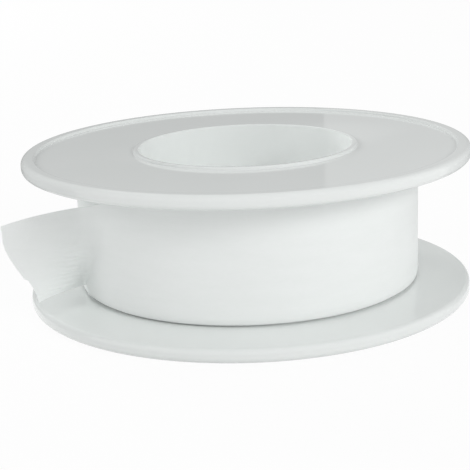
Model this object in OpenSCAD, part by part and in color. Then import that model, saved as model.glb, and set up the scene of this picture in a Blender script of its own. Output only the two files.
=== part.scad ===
// Thread seal tape roll: a spool of two mouldings, the packed turns of tape, the outer turn and its free end.
// Millimetres. +Z runs up the spool's axis, and the origin is on that axis, in the plane that the roll stands on.

/* [Spool] */
// Outside diameter of both flanges
flange_d = 47; // [44:0.5:56]
// Diameter of the bore through the hub
bore_d = 22.6; // [18:0.2:24]
// Wall of the hub, where the two tubes overlap
hub_wall = 1.6; // [1.2:0.1:2.2]
// Thickness of a flange's plate under the winding
plate_t = 1.3; // [1:0.1:2]
// How far a flange's inner face falls from the winding to its edge
face_fall = 0.2; // [0:0.1:0.4]
// Width of the raised rim round a flange
rim_w = 1.4; // [1.2:0.1:2.4]
// Height of the rim and of the collar above the plate
rim_h = 0.3; // [0.2:0.1:0.6]
// Width of the raised collar round the bore
collar_w = 0.5; // [0.4:0.1:1]
// Rounding of the rim's outer corner
rim_round = 0.6; // [0.2:0.1:0.7]
// Rounding of the flange's edge on the tape's side
edge_round = 0.5; // [0.2:0.1:0.7]
// Length over which one hub tube sits in the other
lap_len = 3; // [2:0.5:6]
// Radial room between the two hub tubes
lap_clear = 0.05; // [0.02:0.01:0.1]

/* [Winding] */
// Width of the tape
tape_w = 12; // [10:0.5:19]
// Room between the tape and each flange
side_gap = 0.3; // [0.3:0.1:1]
// Depth of the wound tape on the hub
winding_t = 5.2; // [3:0.1:8]
// Radial room between the hub and the packed turns
core_clear = 0.05; // [0.02:0.01:0.2]
// Thickness of the outer turn and of the free end
film_t = 0.15; // [0.1:0.05:0.3]
// Radial room between the packed turns and the outer turn
turn_clear = 0.15; // [0.1:0.05:0.3]
// Open angle between the two ends of the outer turn
turn_open = 12; // [6:1:30]

/* [Free end] */
// Angle round the axis, from +X, at which the tape leaves the roll
leave_angle = 210; // [0:5:355]
// Angle from the outward radius back to the free end
end_swing = 19; // [0:1:40]
// Length of the free end along its upper edge
end_len_high = 8.9; // [6.5:0.1:14]
// Length of the free end along its lower edge
end_len_low = 5.6; // [3:0.1:6.4]
// Height by which the upper edge sinks towards the torn end
end_droop = 1.2; // [0:0.1:2.5]
// How far the torn end bows out of its plane
end_bow = 0.6; // [0:0.1:1.5]
// Height of the lower torn corner above the lower flange
corner_lift = 0.9; // [0.5:0.1:3]
// How far the upper edge is drawn in where the tape leaves the roll
neck_high = 2.1; // [0.5:0.1:3]
// How far the lower edge is drawn in there
neck_low = 2; // [1:0.1:4.5]
// Angle of the outer turn over which its edges draw in
neck_span = 14; // [8:1:30]
// Height of the fold's axis above the outer turn
fold_lift = 0.15; // [0.1:0.05:0.4]
// Length at the fold that is left open for the free end to swing
fold_gap = 0.3; // [0.2:0.05:0.5]

/* [Hidden] */
$fn = 144;
ARC_STEPS = 6;
PLASTIC = [0.93, 0.94, 0.93];
FILM = [0.95, 0.95, 0.94];

flange_r = flange_d / 2;
bore_r = bore_d / 2;
hub_r = bore_r + hub_wall;
lap_r = bore_r + hub_wall / 2;
flange_t = plate_t + rim_h;
edge_t = flange_t - face_fall;
rim_r = min(rim_round, 0.45 * edge_t);
edge_r = min(edge_round, 0.45 * edge_t);
collar_r = min(collar_w, rim_h) / 2;
tape_z0 = flange_t + side_gap;
tape_z1 = tape_z0 + tape_w;
spool_h = tape_z1 + side_gap + flange_t;
sleeve_z = (spool_h + lap_len) / 2;
seat_z = (spool_h - lap_len) / 2;

winding_r = hub_r + winding_t;
core_r = winding_r - film_t - turn_clear;
seat_r = min(winding_r, flange_r - 2 * edge_r);
turn_span = 360 - turn_open;
film_r = winding_r - film_t / 2;
fold_r = winding_r + fold_lift;
end_dir = leave_angle - end_swing;
neck_z0 = tape_z0 + neck_low;
neck_z1 = tape_z1 - neck_high;
corner_z = flange_t + corner_lift;

// Points of a round corner, from one angle to another
function arc(centre, r, from, to) =
    [for (i = [0:ARC_STEPS]) let (a = from + (to - from) * i / ARC_STEPS) centre + r * [cos(a), sin(a)]];

// Outline of a flange in radius and height, from the bore's mouth out round the rim and in to the hub.
// Height 0 is the outer plane, and the recessed face lies at rim_h. The inner face is flat under the winding.
flange_outline = concat(
    [[bore_r, 0]],
    arc([bore_r + collar_w - collar_r, collar_r], collar_r, -90, 0),
    [[bore_r + collar_w, rim_h]],
    arc([flange_r - rim_w + rim_h, rim_h], rim_h, 180, 270),
    arc([flange_r - rim_r, rim_r], rim_r, -90, 0),
    arc([flange_r - edge_r, edge_t - edge_r], edge_r, 0, 90),
    [[seat_r, flange_t], [hub_r, flange_t]]
);

// A spool half: the flange with its hub tube, which steps at step_r from its outer wall to its inner lip
module spool_half(step_r, wall_z, lip_z) {
    hub_outline = [[hub_r, wall_z], [step_r, wall_z], [step_r, lip_z], [bore_r, lip_z]];
    rotate_extrude() polygon(concat(flange_outline, hub_outline));
}

// Lower moulding: its hub tube ends in a sleeve that takes the other half's spigot
module lower_spool_half() {
    color(PLASTIC) spool_half(lap_r + lap_clear, sleeve_z, seat_z);
}

// Upper moulding: the same flange turned over, with the spigot that sits in the sleeve
module upper_spool_half() {
    color(PLASTIC) translate([0, 0, spool_h]) mirror([0, 0, 1])
        spool_half(lap_r, spool_h - sleeve_z, spool_h - seat_z);
}

// Packed turns of the tape, one ring on the hub
module wound_tape() {
    color(FILM) rotate_extrude()
        translate([hub_r + core_clear, tape_z0]) square([core_r - hub_r - core_clear, tape_w]);
}

// Height drawn in from an edge of the outer turn, at a share of the neck from the fold
function drawn_in(depth, share) = depth * pow(1 - share, 2);

// What the neck takes off the outer turn at one edge: full depth at the fold, nothing at the neck's far end
module neck_cut(edge_z, depth, up) {
    neck_len = winding_r * sin(neck_span);
    behind = -winding_r * sin(turn_open / 2);
    past = edge_z + up * tape_w;
    curve = [for (i = [0:ARC_STEPS]) let (s = i / ARC_STEPS) [s * neck_len, edge_z - up * drawn_in(depth, s)]];
    outline = concat([[behind, past], [behind, curve[0].y]], curve, [[neck_len, past]]);
    rotate([0, 0, leave_angle]) rotate([90, 0, 90]) linear_extrude(2 * winding_r) polygon(outline);
}

// The last turn, an open strip: it starts beside the fold, goes round once and draws in where the end leaves it
module outer_turn() {
    color(FILM) difference() {
        rotate([0, 0, leave_angle]) rotate_extrude(angle = turn_span)
            translate([winding_r - film_t, tape_z0]) square([film_t, tape_w]);
        neck_cut(tape_z1, neck_high, 1);
        neck_cut(tape_z0, neck_low, -1);
    }
}

// Middle line of the outer turn, and its least distance to itself over more than half a turn
TURN_POINTS = 24;
turn_line = [for (i = [0:TURN_POINTS]) let (a = leave_angle + turn_span * i / TURN_POINTS)
    film_r * [cos(a), sin(a)]];
turn_gap = min([for (i = [0:TURN_POINTS]) for (j = [i:TURN_POINTS]) if (j - i > TURN_POINTS / 2)
    norm(turn_line[i] - turn_line[j])]);
echo(least_gap_of_outer_turn_to_itself_mm = turn_gap);

// The free end: a strip that is narrow at the fold and torn on a slant. Rows run from its lower edge to its
// upper edge, and columns from the fold to the torn end.
END_COLS = 10;
END_ROWS = 8;
function torn_length(row) = end_len_low + (end_len_high - end_len_low) * sin(90 * row);
function upper_edge(along) = neck_z1 - end_droop * pow(along / end_len_high, 2);
function lower_edge(along) =
    corner_z + (neck_z0 - corner_z) * pow(max(0, 1 - along / end_len_low), 0.7);
function end_point(col, row, side) =
    let (
        along = fold_gap + (torn_length(row) - fold_gap) * col,
        across = end_bow * pow(along / end_len_high, 2) + side * film_t / 2,
        z = lower_edge(along) + row * (upper_edge(along) - lower_edge(along)),
        fold = fold_r * [cos(leave_angle), sin(leave_angle)],
        plan = fold + along * [cos(end_dir), sin(end_dir)] + across * [-sin(end_dir), cos(end_dir)]
    )
    [plan.x, plan.y, z];

module tape_end() {
    points = [for (side = [-1, 1]) for (c = [0:END_COLS]) for (r = [0:END_ROWS])
        end_point(c / END_COLS, r / END_ROWS, side)];
    back = (END_COLS + 1) * (END_ROWS + 1);
    function at(c, r) = c * (END_ROWS + 1) + r;
    // Two triangles of a quad, with its corners in order
    function quad(a, b, c, d) = [[a, b, c], [a, c, d]];
    sheets = [for (c = [0:END_COLS - 1]) for (r = [0:END_ROWS - 1])
        let (a = at(c, r), b = at(c + 1, r), d = at(c + 1, r + 1), e = at(c, r + 1))
        each concat(quad(a, b, d, e), quad(back + a, back + e, back + d, back + b))];
    long_edges = [for (c = [0:END_COLS - 1])
        let (a = at(c, 0), b = at(c + 1, 0), d = at(c, END_ROWS), e = at(c + 1, END_ROWS))
        each concat(quad(a, back + a, back + b, b), quad(d, e, back + e, back + d))];
    short_edges = [for (r = [0:END_ROWS - 1])
        let (a = at(0, r), b = at(0, r + 1), d = at(END_COLS, r), e = at(END_COLS, r + 1))
        each concat(quad(a, b, back + b, back + a), quad(d, back + d, back + e, e))];
    color(FILM) polyhedron(points, concat(sheets, long_edges, short_edges));
}

lower_spool_half();
upper_spool_half();
wound_tape();
outer_turn();
tape_end();
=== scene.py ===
"""Dressed model of a thread seal tape roll, and the stage it is shown on.

The pieces are the spool's two mouldings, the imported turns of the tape, and its outer turn with the torn
free end. Lengths are in metres, in the frame of the solids.
"""

import math
import random

import bmesh
import bpy
from bpy.props import FloatProperty, FloatVectorProperty, IntProperty, PointerProperty
from bpy.types import Operator, Panel, PropertyGroup
from mathutils import Matrix, Vector


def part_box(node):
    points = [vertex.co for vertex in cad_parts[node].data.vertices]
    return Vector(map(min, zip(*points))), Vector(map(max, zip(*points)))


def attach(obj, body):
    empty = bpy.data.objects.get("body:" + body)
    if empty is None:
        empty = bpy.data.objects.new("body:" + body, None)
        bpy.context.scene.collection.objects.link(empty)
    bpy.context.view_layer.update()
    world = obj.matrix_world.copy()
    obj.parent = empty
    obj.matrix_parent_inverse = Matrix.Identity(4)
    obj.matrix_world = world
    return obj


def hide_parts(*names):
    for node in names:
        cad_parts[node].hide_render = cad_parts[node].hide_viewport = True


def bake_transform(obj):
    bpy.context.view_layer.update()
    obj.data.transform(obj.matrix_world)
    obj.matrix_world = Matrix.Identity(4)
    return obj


bl_info = {
    "name": "Thread seal tape roll",
    "version": (1, 0, 0),
    "blender": (4, 5, 0),
    "location": "View3D > Sidebar > Tape roll",
    "description": "Builds a spool of thread seal tape and the stage that it is shown on",
    "category": "Add Mesh",
}

MM = 0.001
FULL_TURN = 2.0 * math.pi
WHITE = (1.0, 1.0, 1.0, 1.0)

# Faces that meet at more than this angle keep a sharp edge between them
SHARP_ANGLE = math.radians(35.0)

# Refraction of both the plastic and the film
SURFACE_IOR = 1.5

# Values of the mottle between which the tone goes from dark to light, and the roughness from low to high
TONE_SPAN = (0.35, 0.65)
ROUGH_SPAN = (0.3, 0.7)

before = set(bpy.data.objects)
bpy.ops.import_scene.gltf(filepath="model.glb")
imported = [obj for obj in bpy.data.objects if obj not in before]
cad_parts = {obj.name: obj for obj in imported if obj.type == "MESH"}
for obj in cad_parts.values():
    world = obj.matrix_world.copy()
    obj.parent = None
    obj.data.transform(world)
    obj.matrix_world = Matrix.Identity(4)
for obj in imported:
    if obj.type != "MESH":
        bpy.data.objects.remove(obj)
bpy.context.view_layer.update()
SPOOL_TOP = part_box("upper_spool_half")[1]
TAPE_FOOT, TAPE_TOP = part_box("wound_tape")
TURN_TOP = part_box("outer_turn")[1]
TAPE_WIDTH = TAPE_TOP.z - TAPE_FOOT.z


def length(label, text, default, low, high):
    """A length in metres that a user may change"""
    return FloatProperty(
        name=label, description=text, default=default, min=low, max=high, precision=5, unit="LENGTH"
    )


def angle(label, text, degrees, low, high):
    """An angle that a user may change, given in degrees"""
    return FloatProperty(
        name=label,
        description=text,
        default=math.radians(degrees),
        min=math.radians(low),
        max=math.radians(high),
        subtype="ANGLE",
    )


def position(label, text, default):
    """A place that a user may change"""
    return FloatVectorProperty(
        name=label, description=text, default=default, size=3, subtype="XYZ", unit="LENGTH"
    )


def colour(label, text, default):
    """A colour that a user may change"""
    return FloatVectorProperty(
        name=label, description=text, default=default, min=0.0, max=1.0, size=3, subtype="COLOR"
    )


def strength(label, text, default, high):
    """The strength of a lamp or of the surroundings"""
    return FloatProperty(name=label, description=text, default=default, min=0.0, max=high)


class SpoolSettings(PropertyGroup):
    """Sizes and colours of the spool's two mouldings"""

    flange_radius: length("Flange radius", "Outer radius of both flanges", SPOOL_TOP.x, 0.02, 0.03)
    height: length("Height", "Height of the whole spool", SPOOL_TOP.z, 0.012, 0.025)
    bore_radius: length("Bore radius", "Radius of the hole through the hub", 11.3 * MM, 0.009, 0.012)
    hub_wall: length("Hub wall", "Wall of the hub where its two tubes overlap", 1.6 * MM, 0.0012, 0.0022)
    plate: length("Plate", "Thickness of a flange's plate under the winding", 1.3 * MM, 0.001, 0.002)
    face_fall: length("Face fall", "How far the inner face falls towards the edge", 0.2 * MM, 0.0, 0.0005)
    seat_radius: length("Seat radius", "Radius of the flat face under the winding", TURN_TOP.x, 0.016, 0.021)
    rim_width: length("Rim width", "Width of the raised rim round a flange", 1.4 * MM, 0.0012, 0.0024)
    rim_height: length("Rim height", "Height of the rim above the plate", 0.3 * MM, 0.0002, 0.0006)
    collar_width: length("Collar width", "Width of the collar round the bore", 0.5 * MM, 0.0004, 0.001)
    rim_round: length("Rim rounding", "Rounding of the rim's outer corner", 0.6 * MM, 0.0002, 0.0007)
    edge_round: length("Edge rounding", "Rounding of the edge by the tape", 0.5 * MM, 0.0002, 0.0007)
    mouth_round: length("Mouth rounding", "Rounding of the bore's mouth", 0.12 * MM, 0.00005, 0.0002)
    lap_length: length("Lap length", "Length of one hub tube in the other", 3.0 * MM, 0.002, 0.006)
    lap_room: length("Lap room", "Radial room between the two hub tubes", 0.05 * MM, 0.00002, 0.0001)
    sides: IntProperty(name="Sides", description="Steps round a flange", default=256, min=64, max=512)
    light_tone: colour("Light tone", "Colour of the moulded plastic", (0.875, 0.9, 0.89))
    dark_tone: colour("Dark tone", "Colour of its darker clouds", (0.856, 0.885, 0.872))


class TapeSettings(PropertyGroup):
    """Sizes and colours of the wound tape and its free end"""

    roll_radius: length("Roll radius", "Radius of the roll over the outer turn", TURN_TOP.x, 0.016, 0.021)
    hub_radius: length("Hub radius", "Radius on which the first turn lies", 12.95 * MM, 0.012, 0.014)
    film: length("Film", "Thickness of the film", 0.1 * MM, 0.00005, 0.0002)
    turns: IntProperty(name="Turns", description="Turns under the outer one", default=44, min=10, max=60)
    turn_room: length("Turn room", "Radial room under the outer turn", 0.15 * MM, 0.00012, 0.0003)
    settle: length("Settle", "How far the packed turns lie below the outer one", 0.28 * MM, 0.0, 0.0005)
    hinge_angle: angle("Hinge angle", "Angle from +X of the line the free end swings about", 210, 0, 360)
    leave_low: angle("Low leaving angle", "Angle at which the lower edge leaves the roll", 200, 0, 360)
    leave_high: angle("High leaving angle", "Angle at which the upper edge leaves the roll", 224, 0, 360)
    low_bend: length("Low bend", "Radius of the lower edge's bend off the roll", 0.3 * MM, 0.0002, 0.002)
    high_bend: length("High bend", "Radius of the upper edge's bend off the roll", 6.0 * MM, 0.001, 0.008)
    root_low: length("Low root", "Height at which the lower edge leaves the roll", 2.75 * MM, 0.0019, 0.005)
    root_high: length("High root", "Height at which the upper edge leaves the roll", 12.3 * MM, 0.01, 0.0139)
    neck_low: length("Low neck", "Length over which the lower edge draws in", 0.5 * MM, 0.0004, 0.01)
    neck_high: length("High neck", "Length over which the upper edge draws in", 2.5 * MM, 0.001, 0.01)
    root_lift: length("Root lift", "Height that the upper edge keeps at its root", 0.7 * MM, 0.0, 0.002)
    end_low: position("Low corner", "Lower corner of the torn end", (-21.5 * MM, -9.5 * MM, 2.1 * MM))
    end_high: position("High corner", "Upper corner of the torn end", (-24.38 * MM, -10.7 * MM, 10.53 * MM))
    end_bow: length("Bow", "How far the middle of the free end bows back", 0.2 * MM, 0.0, 0.001)
    edge_tuck: length("Edge tuck", "How far the outer turn's lower edge leans in", 0.15 * MM, 0.0, 0.0002)
    wrinkle: length("Wrinkle", "Height of the wrinkles where the film is gathered", 0.15 * MM, 0.0, 0.0003)
    light_tone: colour("Light tone", "Colour of the film", (0.928, 0.95, 0.942))
    dark_tone: colour("Dark tone", "Colour of its denser streaks", (0.906, 0.93, 0.919))


class StageSettings(PropertyGroup):
    """Camera, light and floor"""

    camera_back: length("Camera distance", "Distance of the camera in front of the axis", 0.12776, 0.05, 2.0)
    camera_height: length("Camera height", "Height of the camera over the floor", 0.04078, 0.0, 1.0)
    camera_pan: angle("Pan", "Turn of the camera to the right", -0.653, -90, 90)
    camera_tilt: angle("Tilt", "Turn of the camera down", 15.30, -90, 90)
    camera_roll: angle("Roll", "Turn of the camera about its line of sight", -2.332, -45, 45)
    lens: FloatProperty(
        name="Lens", description="Focal length in mm on a 36 mm wide sensor", default=94.1, min=10, max=300
    )
    surround: strength("Surround", "Strength of the even light from all round", 0.56, 2.0)
    key_lamp: strength("Key lamp", "Power of the lamp at the front right", 0.94, 50.0)
    left_lamp: strength("Left lamp", "Power of the lamp at the left", 0.385, 50.0)
    back_lamp: strength("Back lamp", "Power of the lamp at the back left", 0.98, 50.0)
    bore_lamp: strength("Bore lamp", "Power of the narrow lamp over the bore", 0.92, 50.0)
    wall_lamp: strength("Wall lamp", "Power of the narrow lamp on the bore's right wall", 0.23, 50.0)
    floor_tone: colour("Floor tone", "Colour of the floor", (0.9, 0.9, 0.9))
    left_card: colour("Left card", "Tone of the reflected card at the back left", (0.28, 0.285, 0.285))
    right_card: colour("Right card", "Tone of the reflected card at the back right", (0.46, 0.465, 0.465))


def mix(a, b, share):
    """Value at a share of the way from a to b"""
    return a + (b - a) * share


def smooth(low, high, value):
    """Goes smoothly from 0 to 1 between low and high"""
    t = min(1.0, max(0.0, (value - low) / (high - low)))
    return t * t * (3.0 - 2.0 * t)


def level_direction(turn):
    """Level direction at an angle from +X"""
    return Vector((math.cos(turn), math.sin(turn), 0.0))


def arc(centre, radius, start, end, steps=8):
    """Points of a round corner in radius and height, with angles in degrees"""
    turns = [math.radians(mix(start, end, i / steps)) for i in range(steps + 1)]
    return [(centre[0] + radius * math.cos(a), centre[1] + radius * math.sin(a)) for a in turns]


def with_supports(outline, reach):
    """Adds a point near each end of a straight piece of over six reaches, so that its shading stays flat"""
    result = []
    for here, after in zip(outline, outline[1:] + outline[:1]):
        result.append(here)
        span = math.dist(here, after)
        if span > 6 * reach:
            for share in (reach / span, 1.0 - reach / span):
                result.append((mix(here[0], after[0], share), mix(here[1], after[1], share)))
    return result


def place_object(name, data):
    """Puts an object with this data into the scene"""
    obj = bpy.data.objects.new(name, data)
    bpy.context.scene.collection.objects.link(obj)
    return obj


def add_piece(name, verts, faces, material, uvs=None):
    """Makes a piece with smooth faces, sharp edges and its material"""
    mesh = bpy.data.meshes.new(name)
    mesh.from_pydata(verts, [], faces)
    if uvs:
        layer = mesh.uv_layers.new(name="film")
        for loop in mesh.loops:
            layer.data[loop.index].uv = uvs[loop.vertex_index]
    work = bmesh.new()
    work.from_mesh(mesh)
    bmesh.ops.recalc_face_normals(work, faces=work.faces)
    work.to_mesh(mesh)
    work.free()
    mesh.shade_smooth()
    mesh.set_sharp_from_angle(angle=SHARP_ANGLE)
    mesh.materials.append(material)
    piece = place_object(name, mesh)
    return piece


def lathe(outline, sides):
    """Turns a closed outline of radius and height about the axis"""
    verts = []
    for i in range(sides):
        turn = FULL_TURN * i / sides
        verts += [(r * math.cos(turn), r * math.sin(turn), z) for r, z in outline]
    count = len(outline)
    faces = []
    for i in range(sides):
        near, far = i * count, ((i + 1) % sides) * count
        for j in range(count):
            k = (j + 1) % count
            faces.append((near + j, near + k, far + k, far + j))
    return verts, faces


def empty_tree(owner):
    """Node tree of a material or a world, with nothing in it"""
    owner.use_nodes = True
    owner.node_tree.nodes.clear()
    return owner.node_tree


def mottle_group():
    """Soft clouds and a fine grain, shared by the plastic and the film"""
    name = "clouds_and_grain"
    if name in bpy.data.node_groups:
        return bpy.data.node_groups[name]
    tree = bpy.data.node_groups.new(name, "ShaderNodeTree")
    tree.interface.new_socket(name="Vector", in_out="INPUT", socket_type="NodeSocketVector")
    for label, default in (("Cloud Scale", 60.0), ("Grain Scale", 2500.0), ("Grain Share", 0.3)):
        made = tree.interface.new_socket(name=label, in_out="INPUT", socket_type="NodeSocketFloat")
        made.default_value = default
    for label in ("Mottle", "Relief"):
        tree.interface.new_socket(name=label, in_out="OUTPUT", socket_type="NodeSocketFloat")
    source = tree.nodes.new("NodeGroupInput")
    clouds = tree.nodes.new("ShaderNodeTexNoise")
    clouds.inputs["Detail"].default_value = 3.0
    grain = tree.nodes.new("ShaderNodeTexNoise")
    grain.inputs["Detail"].default_value = 4.0
    both = tree.nodes.new("ShaderNodeMix")
    result = tree.nodes.new("NodeGroupOutput")
    for node, scale in ((clouds, "Cloud Scale"), (grain, "Grain Scale")):
        tree.links.new(source.outputs["Vector"], node.inputs["Vector"])
        tree.links.new(source.outputs[scale], node.inputs["Scale"])
    tree.links.new(source.outputs["Grain Share"], both.inputs["Factor"])
    tree.links.new(clouds.outputs["Fac"], both.inputs["A"])
    tree.links.new(grain.outputs["Fac"], both.inputs["B"])
    for label in ("Mottle", "Relief"):
        tree.links.new(both.outputs["Result"], result.inputs[label])
    return tree


def surface_material(name, settings, place, stretch, mottle, rough, relief):
    """A Principled surface whose tone, roughness and relief follow the clouds and the grain

    mottle holds the clouds' scale, the grain's scale and the grain's share, rough the lowest and the highest
    roughness, and relief the strength and the depth of the bump.
    """
    material = bpy.data.materials.get(name) or bpy.data.materials.new(name)
    tree = empty_tree(material)
    output = tree.nodes.new("ShaderNodeOutputMaterial")
    shader = tree.nodes.new("ShaderNodeBsdfPrincipled")
    shader.inputs["IOR"].default_value = SURFACE_IOR
    where = tree.nodes.new("ShaderNodeTexCoord")
    mapping = tree.nodes.new("ShaderNodeMapping")
    mapping.inputs["Scale"].default_value = stretch
    pattern = tree.nodes.new("ShaderNodeGroup")
    pattern.node_tree = mottle_group()
    for label, value in zip(("Cloud Scale", "Grain Scale", "Grain Share"), mottle):
        pattern.inputs[label].default_value = value
    tone = tree.nodes.new("ShaderNodeMix")
    tone.data_type = "RGBA"
    tone.inputs["A"].default_value = (*settings.dark_tone, 1.0)
    tone.inputs["B"].default_value = (*settings.light_tone, 1.0)
    spread = tree.nodes.new("ShaderNodeMapRange")
    spread.inputs["From Min"].default_value = TONE_SPAN[0]
    spread.inputs["From Max"].default_value = TONE_SPAN[1]
    gloss = tree.nodes.new("ShaderNodeMapRange")
    gloss.inputs["From Min"].default_value = ROUGH_SPAN[0]
    gloss.inputs["From Max"].default_value = ROUGH_SPAN[1]
    gloss.inputs["To Min"].default_value = rough[0]
    gloss.inputs["To Max"].default_value = rough[1]
    bump = tree.nodes.new("ShaderNodeBump")
    bump.inputs["Strength"].default_value = relief[0]
    bump.inputs["Distance"].default_value = relief[1]
    links = tree.links
    links.new(where.outputs[place], mapping.inputs["Vector"])
    links.new(mapping.outputs["Vector"], pattern.inputs["Vector"])
    links.new(pattern.outputs["Mottle"], spread.inputs["Value"])
    links.new(spread.outputs["Result"], tone.inputs["Factor"])
    links.new(tone.outputs["Result"], shader.inputs["Base Color"])
    links.new(pattern.outputs["Mottle"], gloss.inputs["Value"])
    links.new(gloss.outputs["Result"], shader.inputs["Roughness"])
    links.new(pattern.outputs["Relief"], bump.inputs["Height"])
    links.new(bump.outputs["Normal"], shader.inputs["Normal"])
    links.new(shader.outputs["BSDF"], output.inputs["Surface"])
    return material


def plastic_material(spool):
    """Glossy white plastic with faint clouds"""
    return surface_material(
        "moulded_plastic",
        spool,
        place="Object",
        stretch=(1.0, 1.0, 1.0),
        mottle=(90.0, 2200.0, 0.25),
        rough=(0.07, 0.13),
        relief=(0.02, 0.02 * MM),
    )


def film_material(tape):
    """Waxy white film, with streaks that run along the tape"""
    return surface_material(
        "sealing_film",
        tape,
        place="UV",
        stretch=(1.0, 5.0, 1.0),
        mottle=(220.0, 1500.0, 0.45),
        rough=(0.45, 0.55),
        relief=(0.25, 0.06 * MM),
    )


class TAPEROLL_OT_spool_halves(Operator):
    """Builds the two mouldings of the spool, each a flange with its half of the hub"""

    bl_idname = "tape_roll.spool_halves"
    bl_label = "Spool halves"
    bl_options = {"REGISTER", "UNDO"}

    # Size of the small roundings and bevels
    ease = 0.1 * MM
    # How near a support point lies to the end of a straight piece of the outline
    support = 0.04 * MM

    def execute(self, context):
        spool = context.scene.tape_roll_spool
        material = plastic_material(spool)
        sleeve = (spool.height + spool.lap_length) / 2
        seat = (spool.height - spool.lap_length) / 2
        lap = spool.bore_radius + spool.hub_wall / 2
        lower = self.outline(spool, lap + spool.lap_room, sleeve, seat)
        upper = self.outline(spool, lap, spool.height - sleeve, spool.height - seat)
        upper = [(r, spool.height - z) for r, z in upper]
        for name, node, outline in (
            ("spool_lower_half", "lower_spool_half", lower),
            ("spool_upper_half", "upper_spool_half", upper),
        ):
            verts, faces = lathe(outline, spool.sides)
            half = add_piece(name, verts, faces, material)
            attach(half, "spool")
            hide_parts(node)
        return {"FINISHED"}

    def outline(self, spool, step, wall, lip):
        """Outline of a half in radius and height, with the outer plane of its flange at height 0

        The hub's tube steps at the radius step: outside it the tube ends at the height wall, inside at lip.
        """
        bore, outer, ease, recess = spool.bore_radius, spool.flange_radius, self.ease, spool.rim_height
        hub, collar, rim_foot = bore + spool.hub_wall, bore + spool.collar_width, outer - spool.rim_width
        thick = spool.plate + recess
        edge_height = thick - spool.face_fall - spool.edge_round
        mouth = spool.mouth_round
        crown = min(spool.collar_width, recess) / 2
        points = arc((bore + mouth, mouth), mouth, 180, 270, steps=5)
        points += arc((collar - crown, crown), crown, -90, 0)
        points += arc((collar + ease, recess - ease), ease, 180, 90, steps=4)
        points += arc((rim_foot - ease, recess - ease), ease, 90, 0, steps=4)
        points += arc((rim_foot + recess - ease, recess - ease), recess - ease, 180, 270)
        points += arc((outer - spool.rim_round, spool.rim_round), spool.rim_round, -90, 0, steps=10)
        points += arc((outer - spool.edge_round, edge_height), spool.edge_round, 0, 90, steps=10)
        points += [(spool.seat_radius, thick)]
        points += arc((hub + 2 * ease, thick + 2 * ease), 2 * ease, 270, 180, steps=4)
        points += [(hub, wall - ease), (hub - ease, wall)]
        if lip < wall:
            points += [(step + ease, wall), (step, wall - ease), (step, lip)]
        else:
            points += [(step, wall), (step, lip - ease), (step - ease, lip)]
        points += [(bore + ease, lip), (bore, lip - ease)]
        return with_supports(points, self.support)


class TAPEROLL_OT_packed_turns(Operator):
    """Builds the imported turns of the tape, one strip wound on the hub in a spiral"""

    bl_idname = "tape_roll.packed_turns"
    bl_label = "Packed turns"
    bl_options = {"REGISTER", "UNDO"}

    seed = 11
    # Steps in one turn of the spiral
    turn_steps = 96
    # Share of the spiral's pitch from the middle of the film to its face
    half_share = 0.47
    # How far a turn may lie higher or lower than the others
    edge_shift = 0.01 * MM
    # Number of turns, from the outermost in, over which the turns settle
    settling_turns = 3.0

    def execute(self, context):
        tape = context.scene.tape_roll_tape
        chance = random.Random(self.seed)
        outer = tape.roll_radius - tape.film - tape.turn_room
        pitch = (outer - tape.hub_radius) / (tape.turns + 1)
        half = self.half_share * pitch
        shifts = [chance.uniform(-self.edge_shift, self.edge_shift) for _ in range(tape.turns + 2)]
        verts, uvs = [], []
        run = 0.0
        steps = tape.turns * self.turn_steps
        for i in range(steps + 1):
            wound = i / self.turn_steps
            turn = tape.hinge_angle + FULL_TURN * (tape.turns - wound)
            r = tape.hub_radius + pitch * (wound + 0.5)
            k = int(wound)
            shift = mix(shifts[k], shifts[k + 1], smooth(0.0, 1.0, wound - k))
            shift -= tape.settle * smooth(0.0, self.settling_turns, tape.turns - wound)
            low, high = TAPE_FOOT.z + shift, TAPE_TOP.z + shift
            for radius, z in ((r - half, low), (r + half, low), (r + half, high), (r - half, high)):
                verts.append((radius * math.cos(turn), radius * math.sin(turn), z))
                uvs.append((run, z - low))
            run += FULL_TURN * r / self.turn_steps
        faces = [(0, 1, 2, 3), tuple(4 * steps + j for j in (3, 2, 1, 0))]
        for i in range(steps):
            a, b = 4 * i, 4 * i + 4
            faces += [(a + j, b + j, b + (j + 1) % 4, a + (j + 1) % 4) for j in range(4)]
        packed = add_piece("tape_packed_turns", verts, faces, film_material(tape), uvs=uvs)
        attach(packed, "spool")
        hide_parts("wound_tape")
        return {"FINISHED"}


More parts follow.
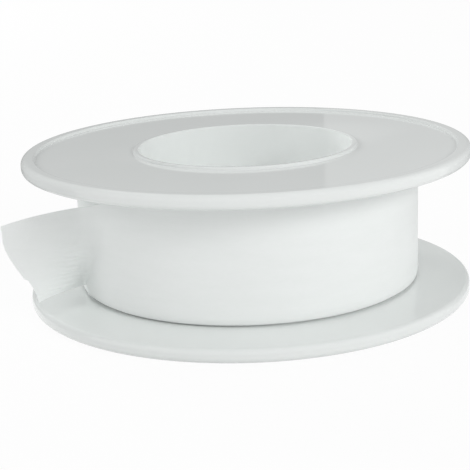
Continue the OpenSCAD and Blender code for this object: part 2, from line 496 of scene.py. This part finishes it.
class TAPEROLL_OT_outer_strip(Operator):
    """Builds the last turn of the tape and its free end, one strip that leaves the roll along a crease"""

    bl_idname = "tape_roll.outer_strip"
    bl_label = "Outer turn and free end"
    bl_options = {"REGISTER", "UNDO"}

    tear_seed = 5
    relief_seed = 23

    # Steps across the film, round the roll, round the bend off the roll and along the free end
    rows = 96
    roll_columns = 240
    bend_columns = 20
    end_columns = 56

    # How far the strip's start runs on under its end, and the radial room there
    overlap = math.radians(6.0)
    overlap_room = 0.015 * MM

    # Bow of the slanted crease, and the power with which the bend off the roll widens towards the upper edge
    crease_bow = 0.55
    bend_power = 1.3

    # Powers with which the lower and the upper edge go from the root's height to the torn corner's
    low_droop = 3.2
    high_droop = 2.2

    # Length past the crease over which the root's lift dies out
    lift_fade = 3.5 * MM

    # Height over which the lower edge leans in, and the length before the crease over which that dies out
    tuck_height = 0.6 * MM
    tuck_fade = 2.0 * MM

    # Shares of the width over which the tear slants and over which its ledge lies, and the ledge's depth
    tear_rows = (-0.02, 0.83)
    ledge_rows = (0.295, 0.315)
    ledge = 0.3 * MM
    # How far the torn line strays
    ragged = 0.025 * MM

    # Distances outside the roll between which the strip goes over from the roll to the free end
    swing_start = 0.05 * MM
    swing_end = 4.9 * MM

    # Wrinkles past the crease: their number, the lowest one's height, the step to the next and its stray
    ridge_count = 13
    ridge_foot = 3.5 * MM
    ridge_step = 0.4 * MM
    ridge_stray = 0.1 * MM
    # Distances of the lowest and the highest wrinkle's middle past the crease, and their stray
    ridge_middles = (2.2 * MM, 3.4 * MM)
    middle_stray = 0.5 * MM
    # Ranges of a wrinkle's half length, half width, share of the full height and slope
    ridge_reach = (1.0 * MM, 1.7 * MM)
    ridge_span = (0.1 * MM, 0.16 * MM)
    ridge_share = (0.5, 1.0)
    ridge_slope = (0.03, 0.12)

    # Small bumps on the roll: their number, and the ranges of their distance before the crease, their height
    # above the floor, their half width and their size
    bump_count = 26
    bump_place = (12.0 * MM, 98.0 * MM)
    bump_level = (3.0 * MM, 12.8 * MM)
    bump_span = (0.5 * MM, 1.3 * MM)
    bump_size = (0.012 * MM, 0.035 * MM)

    # Soft waves on the roll: their size, their lengths along the tape and their rates across it, per metre
    wave_size = 0.012 * MM
    wave_lengths = (7.0 * MM, 19.0 * MM)
    wave_rates = (160.0, 260.0)

    # Half widths of a wrinkle or bump past which it counts as flat
    flat_limit = 3.0

    # Distances before the crease over which the bumps and waves fade, at the crease and at the strip's start
    crease_calm = (4.0 * MM, 9.0 * MM)
    start_calm = (103.0 * MM, 97.0 * MM)

    def execute(self, context):
        tape = context.scene.tape_roll_tape
        grid, along = self.sheet_points(tape)
        grid = self.displaced(grid, self.normals(grid), self.relief(tape, grid, along))
        verts, faces, uvs = self.closed_sheet(grid, self.normals(grid), tape.film)
        strip = add_piece("tape_outer_strip", verts, faces, film_material(tape), uvs=uvs)
        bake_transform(strip)
        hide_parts("outer_turn", "tape_end")
        return {"FINISHED"}

    def sheet_points(self, tape):
        """Middle surface of the strip, row by row, and how far each point lies past the crease"""
        chance = random.Random(self.tear_seed)
        grid, distances = [], []
        for i in range(self.rows + 1):
            row = i / self.rows
            leave = mix(tape.leave_low, tape.leave_high, row + self.crease_bow * row * (1.0 - row))
            tip = self.torn_end(tape, row, chance)
            roll_line, roll_places = self.on_roll(tape, row, leave)
            end_line, end_places = self.off_roll(tape, row, leave, tip)
            grid.append(roll_line + end_line)
            distances.append(roll_places + end_places)
        return grid, distances

    def torn_end(self, tape, row, chance):
        """Last point of a row: a slanted tear with a small ledge and a ragged line"""
        low, high = tape.end_low, tape.end_high
        across = high[0] - low[0] + self.ledge
        x = low[0] + across * smooth(*self.tear_rows, row) - self.ledge * smooth(*self.ledge_rows, row)
        x += chance.uniform(-self.ragged, self.ragged)
        return Vector((x, mix(low[1], high[1], row), mix(low[2], high[2], row)))

    def root(self, tape, row):
        """Height of a row at the crease, and the lift on top of it that dies out past the crease"""
        return mix(tape.root_low, tape.root_high, row), tape.root_lift * row**2

    def on_roll(self, tape, row, leave):
        """Points of a row from the strip's start to the crease, and their places before the crease"""
        radius = tape.roll_radius - tape.film / 2
        start = tape.leave_high + FULL_TURN + self.overlap
        pitch = (tape.film + self.overlap_room) / FULL_TURN
        root, lift = self.root(tape, row)
        neck = mix(tape.neck_low, tape.neck_high, row)
        tuck = tape.edge_tuck * max(0.0, 1.0 - TAPE_WIDTH * row / self.tuck_height) ** 2
        line, places = [], []
        for j in range(self.roll_columns + 1):
            turn = mix(start, leave, j / self.roll_columns)
            place = -(turn - leave) * radius
            lean = tuck * max(0.0, 1.0 - (turn - leave) / FULL_TURN) * smooth(0.0, self.tuck_fade, -place)
            r = radius - pitch * (turn - leave) - lean
            z = mix(mix(TAPE_FOOT.z, TAPE_TOP.z, row), root + lift, smooth(-neck, 0.0, place))
            line.append(Vector((r * math.cos(turn), r * math.sin(turn), z)))
            places.append(place)
        return line, places

    def off_roll(self, tape, row, leave, tip):
        """Points of a row from the crease to the torn end, a bend and a straight run, and their places"""
        bend = mix(tape.low_bend, tape.high_bend, row**self.bend_power)
        centre = (tape.roll_radius - tape.film / 2 + bend) * level_direction(leave)
        way = (tip - centre).to_2d()
        straight = math.sqrt(way.length_squared - bend**2)
        heading = math.atan2(way.y, way.x) % FULL_TURN + math.atan2(bend, straight)
        ahead = level_direction(heading)
        aside = Vector((-ahead.y, ahead.x, 0.0))
        swing = heading + math.pi / 2 - leave
        reach = bend * swing + straight
        root, lift = self.root(tape, row)
        droop = mix(self.low_droop, self.high_droop, row)
        line, places = [], []
        for j in range(1, self.bend_columns + self.end_columns + 1):
            if j <= self.bend_columns:
                turn = swing * j / self.bend_columns
                place = bend * turn
                point = centre - bend * level_direction(leave + turn)
            else:
                share = (j - self.bend_columns) / self.end_columns
                place = bend * swing + straight * share
                point = centre - aside * bend + ahead * (straight * share)
                point += aside * (4.0 * tape.end_bow * share * (1.0 - share))
            point.z = mix(root, tip.z, (place / reach) ** droop)
            point.z += lift * (1.0 - smooth(0.0, self.lift_fade, place))
            line.append(point)
            places.append(place)
        return line, places

    def normals(self, grid):
        """Normal of the sheet at each point, on the side away from the roll"""
        result = []
        for i, line in enumerate(grid):
            below, above = grid[max(0, i - 1)], grid[min(self.rows, i + 1)]
            made = []
            for j in range(len(line)):
                onward = line[min(j + 1, len(line) - 1)] - line[max(0, j - 1)]
                made.append((above[j] - below[j]).cross(onward).normalized())
            result.append(made)
        return result

    def relief(self, tape, grid, along):
        """Height of the wrinkles, waves and small bumps over the smooth sheet at each point"""
        chance = random.Random(self.relief_seed)
        ridges = [self.ridge(k, chance) for k in range(self.ridge_count)]
        bumps = [self.bump(chance) for _ in range(self.bump_count)]
        heights = []
        for line, places in zip(grid, along):
            made = []
            for point, place in zip(line, places):
                if place > 0.0:
                    made.append(tape.wrinkle * self.wrinkles(ridges, place, point.z))
                else:
                    made.append(self.unevenness(bumps, place, point.z))
            heights.append(made)
        return heights

    def ridge(self, k, chance):
        """Height, middle, half length, half width, share and slope of a wrinkle, counted from the lowest"""
        level = self.ridge_foot + self.ridge_step * k + chance.uniform(-self.ridge_stray, self.ridge_stray)
        middle = mix(*self.ridge_middles, k / (self.ridge_count - 1))
        middle += chance.uniform(-self.middle_stray, self.middle_stray)
        ranges = (self.ridge_reach, self.ridge_span, self.ridge_share, self.ridge_slope)
        return (level, middle, *(chance.uniform(*limits) for limits in ranges))

    def bump(self, chance):
        """Place, height, half width and size of a small bump on the roll"""
        place = -chance.uniform(*self.bump_place)
        ranges = (self.bump_level, self.bump_span, self.bump_size)
        return (place, *(chance.uniform(*limits) for limits in ranges))

    def wrinkles(self, ridges, place, z):
        """Share of the full wrinkle height at a place past the crease"""
        total = 0.0
        for level, middle, reach, span, share, slope in ridges:
            off = (z - level + slope * place) / span
            if abs(off) < self.flat_limit:
                total += share * math.exp(-(off**2) - ((place - middle) / reach) ** 2)
        return total

    def unevenness(self, bumps, place, z):
        """Height of the waves and the bumps at a place before the crease"""
        calm = smooth(-self.start_calm[0], -self.start_calm[1], place) * smooth(*self.crease_calm, -place)
        wave = 1.0
        for span, rate in zip(self.wave_lengths, self.wave_rates):
            wave *= math.sin(place / span + rate * z)
        total = self.wave_size * (1.0 + wave)
        for where, level, span, size in bumps:
            away = ((place - where) ** 2 + (z - level) ** 2) / span**2
            if away < self.flat_limit**2:
                total += size * math.exp(-away)
        return total * calm

    def displaced(self, grid, normals, heights):
        """The sheet's points, moved along their normals"""
        return [
            [point + normal * height for point, normal, height in zip(*lines)]
            for lines in zip(grid, normals, heights)
        ]

    def closed_sheet(self, grid, normals, thick):
        """Two faces of the sheet, joined round its edge"""
        columns = len(grid[0])
        verts, uvs = [], []
        for side in (0.5, -0.5):
            for line, directions in zip(grid, normals):
                run = 0.0
                for j, point in enumerate(line):
                    run += (point - line[j - 1]).length if j else 0.0
                    verts.append(point + directions[j] * (side * thick))
                    uvs.append((run, point.z))
        back = len(grid) * columns
        faces = []
        for i in range(self.rows):
            for j in range(columns - 1):
                a, b = i * columns + j, (i + 1) * columns + j
                faces.append((a, a + 1, b + 1, b))
                faces.append((back + a, back + b, back + b + 1, back + a + 1))
        last = self.rows * columns
        for j in range(columns - 1):
            faces.append((j, back + j, back + j + 1, j + 1))
            faces.append((last + j, last + j + 1, back + last + j + 1, back + last + j))
        for i in range(self.rows):
            a, b = i * columns, (i + 1) * columns
            faces.append((a, b, back + b, back + a))
            a, b = a + columns - 1, b + columns - 1
            faces.append((a, back + a, back + b, b))
        return verts, faces, uvs


class TAPEROLL_OT_stage(Operator):
    """Builds the floor, the reflection cards, the lamps, the surroundings and the camera"""

    bl_idname = "tape_roll.stage"
    bl_label = "Stage"
    bl_options = {"REGISTER", "UNDO"}

    # Half width of the floor, how far it lies under the roll, and the share of white in what is seen of it
    floor_reach = 3.0
    floor_drop = 0.02 * MM
    floor_white = 0.94

    # Radius of the cards, the heights of their edges, and where the left card starts, the two meet and the
    # right card ends, in degrees to the right of the back
    card_radius = 34.0 * MM
    card_heights = (0.2 * MM, 50.0 * MM)
    card_ends = (-120.0, 18.0, 100.0)
    card_steps = 40

    # Directions of the soft lamps in degrees, to the right of the front and above the floor
    key_direction = (44.0, 24.5)
    left_direction = (-85.0, 25.0)
    back_direction = (-140.0, 17.0)
    # Width of a soft lamp, its distance and the point that it aims at
    lamp_size = 0.2
    lamp_distance = 0.55
    lamp_aim = (0.0, 0.0, 8.0 * MM)

    # Place, aim and cone in degrees of the narrow lamps, and the share of the cone that is soft
    bore_spot = ((-2.0 * MM, -1.0 * MM, 220.0 * MM), (-2.0 * MM, -1.0 * MM, 0.0), 5.0)
    wall_spot = ((-164.0 * MM, -97.0 * MM, 156.0 * MM), (10.0 * MM, 5.5 * MM, 12.0 * MM), 4.0)
    spot_blend = 0.8

    # Width of the camera's sensor in mm, and the nearest distance that it shows
    sensor_width = 36.0
    near_limit = 5.0 * MM

    def execute(self, context):
        stage = context.scene.tape_roll_stage
        context.scene.view_settings.view_transform = "Standard"
        self.floor(stage)
        self.card("card_left", stage.left_card, *self.card_ends[:2])
        self.card("card_right", stage.right_card, *self.card_ends[1:])
        self.lamp("lamp_key", *self.key_direction, stage.key_lamp)
        self.lamp("lamp_left", *self.left_direction, stage.left_lamp)
        self.lamp("lamp_back", *self.back_direction, stage.back_lamp)
        self.spot("lamp_bore", *self.bore_spot, stage.bore_lamp)
        self.spot("lamp_wall", *self.wall_spot, stage.wall_lamp)
        self.surroundings(context, stage)
        self.camera(context, stage)
        return {"FINISHED"}

    def seen(self, tree):
        """1 for rays that show a background: from the camera, a glossy face or clear material"""
        path = tree.nodes.new("ShaderNodeLightPath")
        total = path.outputs["Is Camera Ray"]
        for kind in ("Is Glossy Ray", "Is Transmission Ray"):
            larger = tree.nodes.new("ShaderNodeMath")
            larger.operation = "MAXIMUM"
            tree.links.new(total, larger.inputs[0])
            tree.links.new(path.outputs[kind], larger.inputs[1])
            total = larger.outputs[0]
        return total

    def staged(self, name, verts, faces, material):
        """Makes an object of the stage, which isn't part of the roll"""
        mesh = bpy.data.meshes.new(name)
        mesh.from_pydata(verts, [], faces)
        mesh.materials.append(material)
        obj = place_object(name, mesh)
        return obj

    def floor(self, stage):
        """A pale floor that keeps the roll's shadow, nearly white where it is seen"""
        material = bpy.data.materials.new("pale_floor")
        tree = empty_tree(material)
        output = tree.nodes.new("ShaderNodeOutputMaterial")
        matt = tree.nodes.new("ShaderNodeBsdfDiffuse")
        matt.inputs["Color"].default_value = (*stage.floor_tone, 1.0)
        white = tree.nodes.new("ShaderNodeEmission")
        share = tree.nodes.new("ShaderNodeMath")
        share.operation = "MULTIPLY"
        share.inputs[1].default_value = self.floor_white
        both = tree.nodes.new("ShaderNodeMixShader")
        tree.links.new(self.seen(tree), share.inputs[0])
        tree.links.new(share.outputs[0], both.inputs["Fac"])
        tree.links.new(matt.outputs["BSDF"], both.inputs[1])
        tree.links.new(white.outputs["Emission"], both.inputs[2])
        tree.links.new(both.outputs["Shader"], output.inputs["Surface"])
        far, low = self.floor_reach, -self.floor_drop
        corners = [(-far, -far, low), (far, -far, low), (far, far, low), (-far, far, low)]
        self.staged("floor", corners, [(0, 1, 2, 3)], material)

    def card(self, name, tone, first, last):
        """A curved grey card behind the roll, which shows only in its gloss"""
        material = bpy.data.materials.new(name)
        tree = empty_tree(material)
        output = tree.nodes.new("ShaderNodeOutputMaterial")
        grey = tree.nodes.new("ShaderNodeEmission")
        grey.inputs["Color"].default_value = (*tone, 1.0)
        tree.links.new(grey.outputs["Emission"], output.inputs["Surface"])
        verts = []
        for i in range(self.card_steps + 1):
            turn = math.radians(mix(first, last, i / self.card_steps))
            x, y = self.card_radius * math.sin(turn), self.card_radius * math.cos(turn)
            verts += [(x, y, z) for z in self.card_heights]
        faces = [(2 * i, 2 * i + 2, 2 * i + 3, 2 * i + 1) for i in range(self.card_steps)]
        card = self.staged(name, verts, faces, material)
        card.visible_camera = False
        card.visible_diffuse = False
        card.visible_shadow = False

    def lamp(self, name, side, rise, power):
        """A soft round lamp, at an angle to the right of the front and an angle above the floor"""
        light = bpy.data.lights.new(name, "AREA")
        light.shape = "DISK"
        light.size = self.lamp_size
        turn, lift = math.radians(side), math.radians(rise)
        towards = Vector((math.sin(turn) * math.cos(lift), -math.cos(turn) * math.cos(lift), math.sin(lift)))
        self.hang(name, light, Vector(self.lamp_aim) + towards * self.lamp_distance, -towards, power)

    def spot(self, name, place, aim, cone, power):
        """A narrow lamp with its place, its aim and its cone in degrees"""
        light = bpy.data.lights.new(name, "SPOT")
        light.spot_size = math.radians(cone)
        light.spot_blend = self.spot_blend
        self.hang(name, light, Vector(place), Vector(aim) - Vector(place), power)

    def hang(self, name, light, place, way, power):
        """Puts a lamp in its place, facing its way and unseen in the gloss"""
        light.energy = power
        obj = place_object(name, light)
        obj.location = place
        obj.rotation_euler = way.to_track_quat("-Z", "Y").to_euler()
        obj.visible_glossy = False

    def surroundings(self, context, stage):
        """Even light from all round, which looks white where it is seen"""
        world = bpy.data.worlds.new("surroundings")
        tree = empty_tree(world)
        output = tree.nodes.new("ShaderNodeOutputWorld")
        light = tree.nodes.new("ShaderNodeBackground")
        light.inputs["Color"].default_value = WHITE
        light.inputs["Strength"].default_value = stage.surround
        white = tree.nodes.new("ShaderNodeBackground")
        white.inputs["Color"].default_value = WHITE
        both = tree.nodes.new("ShaderNodeMixShader")
        tree.links.new(self.seen(tree), both.inputs["Fac"])
        tree.links.new(light.outputs["Background"], both.inputs[1])
        tree.links.new(white.outputs["Background"], both.inputs[2])
        tree.links.new(both.outputs["Shader"], output.inputs["Surface"])
        context.scene.world = world

    def camera(self, context, stage):
        """The photograph's camera, at the front: its line of sight is turned by the pan, tilt and roll"""
        pan, tilt, roll = stage.camera_pan, stage.camera_tilt, stage.camera_roll
        sight = Vector((math.sin(pan) * math.cos(tilt), math.cos(pan) * math.cos(tilt), -math.sin(tilt)))
        level = sight.cross(Vector((0.0, 0.0, 1.0))).normalized()
        rise = level.cross(sight)
        right = level * math.cos(roll) + rise * math.sin(roll)
        up = rise * math.cos(roll) - level * math.sin(roll)
        place = Matrix((right, up, -sight)).transposed().to_4x4()
        place.translation = Vector((0.0, -stage.camera_back, stage.camera_height))
        data = bpy.data.cameras.new("camera")
        data.sensor_fit = "HORIZONTAL"
        data.sensor_width = self.sensor_width
        data.lens = stage.lens
        data.clip_start = self.near_limit
        obj = place_object("camera", data)
        obj.matrix_world = place
        context.scene.camera = obj


class TAPEROLL_PT_panel(Panel):
    """Sizes, colours and steps of the tape roll"""

    bl_label = "Tape roll"
    bl_idname = "TAPEROLL_PT_panel"
    bl_space_type = "VIEW_3D"
    bl_region_type = "UI"
    bl_category = "Tape roll"

    def draw(self, context):
        layout = self.layout
        scene = context.scene
        for title, group in (
            ("Spool", scene.tape_roll_spool),
            ("Tape", scene.tape_roll_tape),
            ("Stage", scene.tape_roll_stage),
        ):
            box = layout.box()
            box.label(text=title)
            for name in group.__annotations__:
                box.prop(group, name)
        for step in STEPS:
            layout.operator(step.bl_idname)


SETTINGS = (SpoolSettings, TapeSettings, StageSettings)
STEPS = (TAPEROLL_OT_spool_halves, TAPEROLL_OT_packed_turns, TAPEROLL_OT_outer_strip, TAPEROLL_OT_stage)
CLASSES = (*SETTINGS, *STEPS, TAPEROLL_PT_panel)


def register():
    for made in CLASSES:
        bpy.utils.register_class(made)
    bpy.types.Scene.tape_roll_spool = PointerProperty(type=SpoolSettings)
    bpy.types.Scene.tape_roll_tape = PointerProperty(type=TapeSettings)
    bpy.types.Scene.tape_roll_stage = PointerProperty(type=StageSettings)


def unregister():
    del bpy.types.Scene.tape_roll_stage
    del bpy.types.Scene.tape_roll_tape
    del bpy.types.Scene.tape_roll_spool
    for made in reversed(CLASSES):
        bpy.utils.unregister_class(made)


def main():
    register()
    bpy.ops.tape_roll.spool_halves()
    bpy.ops.tape_roll.packed_turns()
    bpy.ops.tape_roll.outer_strip()
    bpy.ops.tape_roll.stage()


if __name__ == "__main__":
    main()
